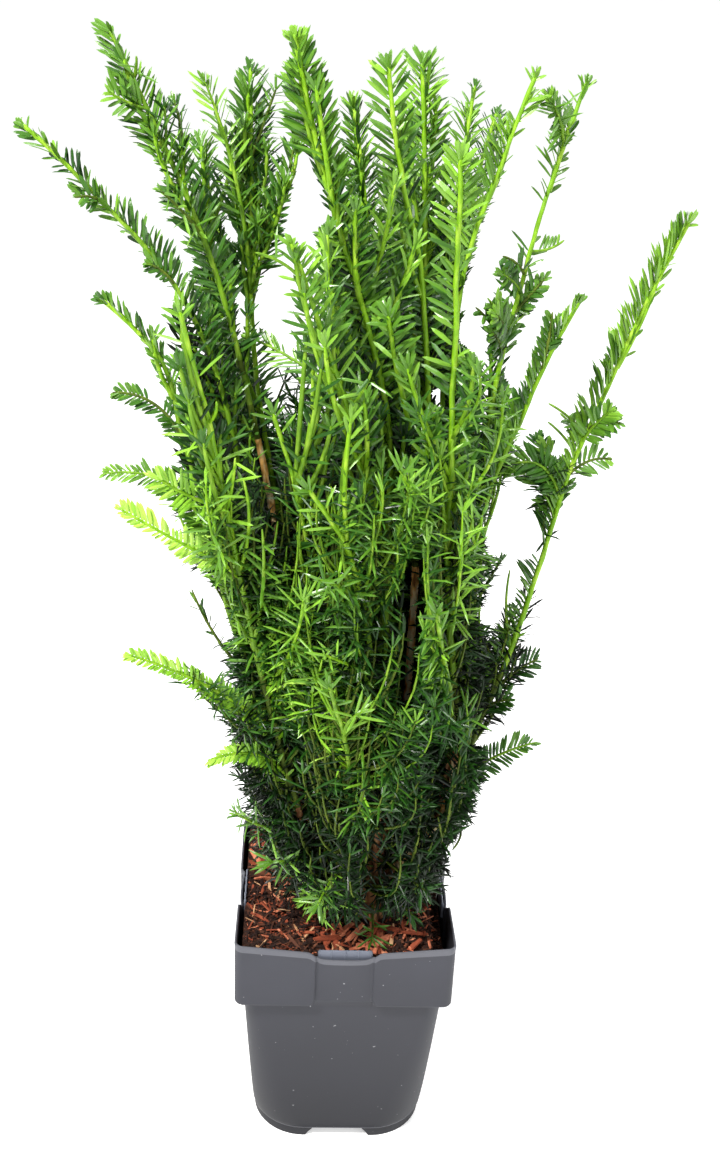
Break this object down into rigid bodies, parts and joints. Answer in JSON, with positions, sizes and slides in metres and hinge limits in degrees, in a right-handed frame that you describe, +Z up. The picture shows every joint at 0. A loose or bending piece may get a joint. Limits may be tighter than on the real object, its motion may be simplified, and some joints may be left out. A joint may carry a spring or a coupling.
{
  "type": "english yew in pot",
  "caption": "Multi-stemmed English yew with upright needle-clad shoots, growing in a square tapered nursery pot filled with bark mulch.",
  "frame": {"origin": "on the ground at the centre of the pot's underside, on its flat central pad", "axes": "+Z up, -Y the front of the plant as pictured, +X its right-hand side"},
  "size_m": [0.5683, 0.4381, 1.0702],
  "materials": {
    "pot_plastic": "mid-grey moulded polypropylene, matt, with a fine paler line along the rim",
    "pocket_plastic": "paler grey moulded plastic, ribbed",
    "bark_substrate": "dark brown composted bark with reddish wood chips, rough",
    "brown_bark": "brown flaking yew bark",
    "green_stem": "young yellow-green shoot bark, satin",
    "needles_dark": "dark green glossy needles",
    "needles_mid": "mid green glossy needles",
    "needles_upper": "fresh green glossy needles",
    "needles_lime": "lime green new growth"
  },
  "bodies": {
    "root": {"bough_back": "brown_bark", "bough_back_left_upper": "green_stem", "bough_back_right": "brown_bark", "bough_centre_left": "brown_bark", "bough_far_right": "green_stem", "bough_front": "brown_bark", "bough_front_left": "brown_bark", "bough_left": "brown_bark", "bough_right": "brown_bark", "centre_stem": "brown_bark", "foliage_low_back": "needles_dark", "foliage_low_front": "needles_dark", "foliage_low_left": "needles_dark", "foliage_low_right": "needles_dark", "foliage_middle_back": "needles_mid", "foliage_middle_front": "needles_mid", "foliage_middle_left": "needles_mid", "foliage_middle_right": "needles_mid", "foliage_right_shoulder": "needles_mid", "foliage_upper_back_left": "needles_mid", "foliage_upper_back_right": "needles_mid", "foliage_upper_front": "needles_mid", "foliage_upper_left": "needles_mid", "foliage_upper_right": "needles_mid", "label_pocket_back": "pocket_plastic", "label_pocket_front": "pocket_plastic", "label_pocket_left": "pocket_plastic", "label_pocket_right": "pocket_plastic", "main_stem": "brown_bark", "plume_back": "needles_upper", "plume_back_far_right": "needles_upper", "plume_back_inner": "needles_upper", "plume_back_left": "needles_upper", "plume_back_left_inner": "needles_upper", "plume_back_right": "needles_upper", "plume_centre": "needles_upper", "plume_centre_left": "needles_upper", "plume_far_back": "needles_upper", "plume_far_left": "needles_upper", "plume_far_right": "needles_upper", "plume_front": "needles_upper", "plume_front_inner": "needles_upper", "plume_front_left": "needles_upper", "plume_front_right": "needles_upper", "plume_inner_centre": "needles_upper", "plume_left": "needles_upper", "plume_left_low": "needles_upper", "plume_right": "needles_upper", "plume_right_low": "needles_upper", "plume_right_tall": "needles_upper", "pot": "pot_plastic", "shoot_back_left": "needles_lime", "shoot_front_left": "needles_lime", "shoot_left": "needles_lime", "shoot_low_left": "needles_lime", "shoot_low_right": "needles_lime", "shoot_right": "needles_lime", "shoot_upper_left": "needles_lime", "soil": "bark_substrate"}
  },
  "joints": []
}
